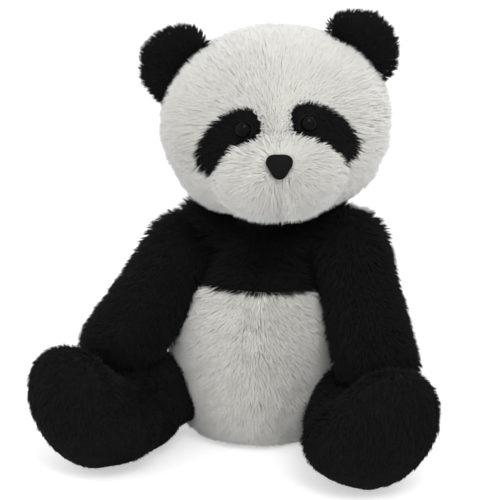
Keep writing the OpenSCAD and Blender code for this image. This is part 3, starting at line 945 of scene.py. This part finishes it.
def head_lay(place):
    if on_muzzle(place) > 0:
        return (place - NOSE).normalized() + MUZZLE_HANG * DOWN
    if on_patch(place) > 0:
        nearest = min(SIDES, key=lambda side: (place - EYE[side]).length)
        return (place - EYE[nearest]).normalized() + PATCH_HANG * DOWN
    behind = share(head_part(place).y, *DOWN_BACK)
    return (1 - behind) * (place - BRIDGE).normalized() + (HEAD_HANG + behind) * DOWN


def head_pile(place):
    if on_muzzle(place) > 0:
        return share((place - NOSE).length, *NOSE_PILE)
    if on_patch(place) > 0:
        return share(from_eyes(place), *PATCH_PILE)
    return share(from_eyes(place), *FACE_PILE) * share(head_part(place).x, *FULL_CHEEK)


def head_flat(place):
    """Pile lies flatter towards the back of the head."""
    return share(head_part(place).y, *FLAT_BACK)


def pull_in(part, depth):
    """Draws a skin in along stitches, by a depth in millimetres at each place."""
    for vert in SKINS[part].data.vertices:
        vert.co -= vert.normal * depth(vert.co / MM) * MM


def under_nose(place):
    point = head_part(place) - MUZZLE
    if point.y > 0 or point.z > NOSE_RISE:
        return 0
    fade = min(1, (NOSE_RISE - point.z) / CREASE_RUN)
    return CREASE_DEPTH * math.exp(-((point.x / CREASE_W) ** 2)) * fade


pull_in("head", under_nose)
comb_skin("head", head_lay, head_pile, on_patch, head_flat)
print("head combed:", len(SKINS["head"].data.vertices), "places")

# %% [markdown]
# ### Growing the head's fur
# White pile is fluffy, and shaggier on cheeks and muzzle. It is denser on the face than at the
# back, which keeps the number of triangles down.

# %% Head fur
HEAD_PILE, FOREHEAD_Z, CROWN_Z = 10, 12, 4
FLUFFY = {"rise": 1.2, "tousle": 0.8, "tuft": 90, "clump": 0.3, "width": 0.85}
SHAGGY = FLUFFY | {"rise": 1.3, "tousle": 1.5, "tuft": 80, "clump": 0.5}


def forehead(place):
    point = head_part(place)
    return min(-point.y, point.z - FOREHEAD_Z, -on_patch(place))


def cheeks(place):
    point = head_part(place)
    return min(-point.y, FOREHEAD_Z - point.z, -on_patch(place), -on_muzzle(place))


def crown(place):
    return min(head_part(place).y, head_part(place).z - CROWN_Z)


def nape(place):
    return min(head_part(place).y, CROWN_Z - head_part(place).z)


grow("forehead_fur", "head", "white_fur", forehead, mm=HEAD_PILE, per_mm2=2.2, seed=11, **FLUFFY)
grow("cheek_fur", "head", "white_fur", cheeks, mm=HEAD_PILE, per_mm2=2.1, seed=12, **SHAGGY)
grow("head_crown_fur", "head", "white_fur", crown, mm=HEAD_PILE, per_mm2=1.1, seed=13, **FLUFFY)
grow("head_nape_fur", "head", "white_fur", nape, mm=HEAD_PILE, per_mm2=1.1, seed=14, **FLUFFY)
grow("muzzle_fur", "head", "white_fur", clear_of_face(on_muzzle), mm=11, per_mm2=2.4, seed=21, **SHAGGY)
grow("eye_patch_fur", "head", "black_fur", clear_of_face(on_patch), mm=9, per_mm2=2.0, seed=22, width=0.5)

# %% [markdown]
# ## Ears and neck
# Ear fur fans out from a point below the seam. The neck's fur hangs, and fills the gap between
# head and shoulders.

# %% Ear and neck fur
EAR_WHORL = Vector((-12, 0, 0))
NECK_FUR_REACH, WHOLE_SKIN = 12, 100.0


def ear_lay(side):
    inside = EAR[side].inverted()
    return lambda p: EAR[side].to_3x3() @ (inside @ p - EAR_WHORL).normalized()


def anywhere(place):
    return WHOLE_SKIN


def mid_neck(place):
    return NECK_FUR_REACH - abs(place.z - NECK.z)


for seed, side in enumerate(SIDES, start=31):
    part = f"{side}_ear"
    comb_skin(part, ear_lay(side), lambda p: 1.0, anywhere)
    grow(f"{part}_fur", part, "black_fur", anywhere, mm=7, per_mm2=1.9, seed=seed, rise=1.2)

comb_skin("neck", lambda p: DOWN, lambda p: 1.0, anywhere)
grow("neck_fur", "neck", "black_fur", mid_neck, mm=14, per_mm2=1.2, seed=35, rise=1.5)

# %% [markdown]
# ## The body
# Belly fur hangs down and parts a little from the seam down the middle. Pile is short where
# the limbs press against the body, and flat under the seat.

# %% Torso and tail fur
SHOULDER_TOP, SHOULDER_PILE = 20, 1.2
PARTING, PARTING_W, BELLY_HANG = 0.7, 20, 0.8
SEAM_DEPTH, SEAM_W = 0.8, 3.5
LIMB_PRESS, SEAT_PRESS = (0.7, 1.0, 3, 11), (0.55, 1.0, 3, 15)
TAIL_HANG, TAIL_LAP = 2, 2


def from_axis(place, start, end):
    way = end - start
    t = min(1, max(0, (place - start).dot(way) / way.length_squared))
    return (place - start - t * way).length


def from_limbs(place):
    arms = min(from_axis(place, SHOULDER[s], PAW[s]) - SHOULDER_R for s in SIDES)
    legs = min(from_axis(place, HIP[s], LEG[s] @ Vector((0, 0, LEG_L))) - LEG_R for s in SIDES)
    return min(arms, legs)


def yoke(place):
    return place.z - YOKE_Z


def torso_lay(place):
    aside = place.x - lean_at(place.z).x
    if yoke(place) > SHOULDER_TOP:
        return Vector((aside, place.y, 0)).normalized()
    return Vector((PARTING * math.tanh(aside / PARTING_W), 0, -BELLY_HANG))


def belly_seam(place):
    aside = place.x - lean_at(place.z).x
    return SEAM_DEPTH * math.exp(-((aside / SEAM_W) ** 2)) if place.y < 0 else 0


def torso_pile(place):
    if yoke(place) > SHOULDER_TOP:
        return SHOULDER_PILE
    return min(share(from_limbs(place), *LIMB_PRESS), share(place.z, *SEAT_PRESS))


def belly_half(hand):
    return lambda p: min(-p.y, -yoke(p), hand * (p.x - lean_at(p.z).x))


def lower_back(place):
    return min(place.y, -yoke(place))


def past_back(place):
    """Millimetres behind the belly's widest point, where the tail comes out."""
    return place.y - BELLY_R + TAIL_LAP


BELLY = {"rise": 1.0, "tousle": 1.3, "tuft": 70, "clump": 0.25, "width": 0.85}
pull_in("torso", belly_seam)
comb_skin("torso", torso_lay, torso_pile, yoke)
grow("yoke_fur", "torso", "black_fur", yoke, mm=12, per_mm2=1.0, seed=41, rise=1.3)
for seed, (side, hand) in enumerate(SIDES.items(), start=46):
    where = belly_half(hand)
    grow(f"{side}_belly_fur", "torso", "white_fur", where, mm=11, per_mm2=2.0, seed=seed, **BELLY)
grow("lower_back_fur", "torso", "white_fur", lower_back, mm=11, per_mm2=0.85, seed=43, **BELLY)

comb_skin("tail", lambda p: (p - TAIL).normalized() + TAIL_HANG * DOWN, lambda p: 1.0, lambda p: -1.0)
grow("tail_fur", "tail", "white_fur", past_back, mm=9, per_mm2=2.0, seed=45, **FLUFFY)

# %% [markdown]
# ## The limbs
# Arm fur runs from the shoulder to the paw, and leg fur from the hip to the sole, where it
# turns down. Pile is pressed short near the floor and at the hip. Four limbs share these rules.

# %% Arm and leg fur
ARM_PILE, FLOOR_PRESS, HIP_PRESS = (0.8, 1.2, 50, 100), (0.3, 1.0, 3, 45), (0.5, 1.0, 25, 50)
ARM_HANG, LEG_HANG, SOLE_REACH, SOLE_EDGE = 0.2, 0.25, 80, 16
LIMB, FOOT = {"rise": 1.0, "width": 0.7}, {"rise": 0.7, "width": 0.65}


def arm_pile(side):
    return lambda p: share((p - PAW[side]).length, *ARM_PILE)


def leg_pile(side):
    return lambda p: min(share(p.z, *FLOOR_PRESS), share((p - HIP[side]).length, *HIP_PRESS))


def leg_lay(side):
    way = LEG[side].to_3x3() @ Vector((0, 0, 1))
    sole = LEG[side] @ Vector((0, TOE.y / 2, LEG_L + FOOT_HALF.z))

    def lay(place):
        near = max(0, 1 - (place - sole).length / SOLE_REACH)
        return way * (1 - near) + (LEG_HANG + near) * DOWN

    return lay


def past_ankle(side, sign):
    """Millimetres from the ankle towards the sole, or with -1 towards the hip."""
    return lambda p: sign * ((LEG[side].inverted() @ p).z - LEG_L + SOLE_EDGE)


for seed, side in enumerate(SIDES, start=51):
    part = f"{side}_arm"
    way = (PAW[side] - SHOULDER[side]).normalized()
    comb_skin(part, lambda p: way + ARM_HANG * DOWN, arm_pile(side), anywhere)
    grow(f"{part}_fur", part, "black_fur", anywhere, mm=11, per_mm2=0.8, seed=seed, **LIMB)
    part = f"{side}_leg"
    comb_skin(part, leg_lay(side), leg_pile(side), anywhere)
    foot, shank = past_ankle(side, 1), past_ankle(side, -1)
    grow(f"{side}_foot_fur", part, "black_fur", foot, mm=6.5, per_mm2=1.0, seed=seed + 4, **FOOT)
    grow(f"{side}_leg_fur", part, "black_fur", shank, mm=9, per_mm2=0.8, seed=seed + 8, **LIMB)

for part, skin in SKINS.items():
    move_with(skin, part)
print("fur triangles in all:", sum(counts.values()))

# %% [markdown]
# ## The nose
# The nose is a small moulding: a rounded triangle, point down, with soft edges. A sphere gives
# it, with three corners drawn out and its front pressed flatter.

# %% The nose
NOSE_BACK, NOSE_FLAT, NOSE_CORNER = 3, 0.6, 0.13
NOSE_CORNERS, NOSE_SPIN, NOSE_SEGMENTS, NOSE_NARROW = 3, 30, 36, 2.3
bm = bmesh.new()
bmesh.ops.create_uvsphere(bm, u_segments=NOSE_SEGMENTS, v_segments=NOSE_SEGMENTS // 2, radius=1)
for vert in bm.verts:
    angle = math.atan2(vert.co.y, vert.co.x)
    corner = 1 + NOSE_CORNER * math.cos(NOSE_CORNERS * (angle - math.radians(NOSE_SPIN)))
    deep = NOSE_OUT if vert.co.z > 0 else NOSE_BACK
    vert.co.x *= corner * NOSE_W / NOSE_NARROW
    vert.co.y *= corner * NOSE_H / 2
    vert.co.z = math.copysign(deep * abs(vert.co.z) ** NOSE_FLAT, vert.co.z)
tip_up = NOSE_RISE * MUZZLE_HALF.y / MUZZLE_HALF.z
facing = (HEAD.to_3x3() @ Vector((0, -MUZZLE_HALF.y, tip_up))).normalized()
upright = facing.to_track_quat("Z", "Y").to_matrix().to_4x4()
bmesh.ops.transform(bm, matrix=Matrix.Translation(NOSE - facing) @ upright, verts=bm.verts)
nose = put_in_scene("nose_moulding", bm)
nose.data.shade_smooth()
nose.data.materials.append(NOSE_PLASTIC)
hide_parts("nose")
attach(nose, "head")
print("nose faces:", len(nose.data.polygons))

# %% [markdown]
# ### What stays as the CAD has it
# Eyes, washers, the pellet bag and the inner fibre are right as they are. They need only
# their materials.

# %% Finishes of the CAD nodes that stay
FINISH = {"left_eye": EYE_PLASTIC, "right_eye": EYE_PLASTIC, "pellet_bag": BAG_CLOTH}
finished = 0
for name, obj in frame["nodes"].items():
    finish = FINISH.get(name)
    if "stuffing" in name:
        finish = FIBRE
    if "washer" in name:
        finish = WASHER_NYLON
    if finish:
        obj.data.materials.clear()
        obj.data.materials.append(finish)
        finished += 1
print("CAD nodes with a finish:", finished)

# %% [markdown]
# ## Floor, light and camera
# The photograph has a white ground and soft light. The world is pure white to the camera and in
# reflections, and a little dimmer as a light. The floor glows for the camera only, so the
# ground looks white while the toy still gets its own shade.

# %% Floor and world
SKY, FLOOR_GREY, FLOOR_ROUGH, FLOOR_GLOW, FLOOR_SIZE = 0.85, 0.8, 0.9, 0.5, 4000
WHITE = grey(1)

world = bpy.data.worlds.new("studio")
scene.world = world
world.use_nodes = True
sky = world.node_tree.nodes["Background"]
set_inputs(sky, {"Color": WHITE, "Strength": SKY})
rays = add(world.node_tree, "ShaderNodeLightPath")
white = add(world.node_tree, "ShaderNodeBackground", {"Color": WHITE, "Strength": 1.0})
seen = calc(world.node_tree, "MAXIMUM", out(rays, "Is Camera Ray"), out(rays, "Is Transmission Ray"))
seen = calc(world.node_tree, "MAXIMUM", seen, out(rays, "Is Glossy Ray"))
mix = add(world.node_tree, "ShaderNodeMixShader", {0: seen, 1: out(sky), 2: out(white)})
world.node_tree.links.new(out(mix), world.node_tree.nodes["World Output"].inputs["Surface"])

bm = bmesh.new()
bmesh.ops.create_grid(bm, x_segments=1, y_segments=1, size=FLOOR_SIZE)
floor = put_in_scene("floor", bm)
ground, tree, surface = new_material("studio_floor")
set_inputs(surface, {"Base Color": grey(FLOOR_GREY), "Roughness": FLOOR_ROUGH, "Emission Color": WHITE})
rays = add(tree, "ShaderNodeLightPath")
glow = calc(tree, "MULTIPLY", out(rays, "Is Camera Ray"), FLOOR_GLOW)
tree.links.new(glow, surface.inputs["Emission Strength"])
floor.data.materials.append(ground)
print("floor and world:", floor.name, world.name)

# %% [markdown]
# ### Lamps and camera
# A large lamp stands above, in front and to the toy's left, and a weak one fills in from the
# other side. The camera was fitted to outlines in the photograph: a long lens, a little above
# the toy and to its left.

# %% Lamps and camera
LAMP_AIM = Vector((0, 0, 0.15))
AZIMUTH, ELEVATION, DISTANCE = 12, 15.5, 1.5
LENS, SENSOR, AIM_RIGHT, AIM_UP = 150, 36, -0.0086, 0.131


def lamp(name, place, size, power):
    light = bpy.data.lights.new(name, "AREA")
    light.size = size
    light.energy = power
    obj = bpy.data.objects.new(name, light)
    obj.location = place
    obj.rotation_euler = (LAMP_AIM - obj.location).to_track_quat("-Z", "Y").to_euler()
    scene.collection.objects.link(obj)


lamp("key", Vector((0.7, -1.15, 1.75)), size=1.0, power=13)
lamp("fill", Vector((-1.3, -1.2, 0.8)), size=1.5, power=2)

az, el = math.radians(AZIMUTH), math.radians(ELEVATION)
back = Vector((math.sin(az) * math.cos(el), -math.cos(az) * math.cos(el), math.sin(el)))
right = Vector((math.cos(az), math.sin(az), 0))
aim = right * AIM_RIGHT + Vector((0, 0, AIM_UP))
camera = bpy.data.cameras.new("camera")
camera.lens = LENS
camera.sensor_width = SENSOR
view = bpy.data.objects.new("camera", camera)
view.location = aim + DISTANCE * back
view.rotation_euler = (-back).to_track_quat("-Z", "Y").to_euler()
scene.collection.objects.link(view)
scene.camera = view
scene.view_settings.view_transform = "Standard"
print("camera, m:", [round(c, 3) for c in view.location])
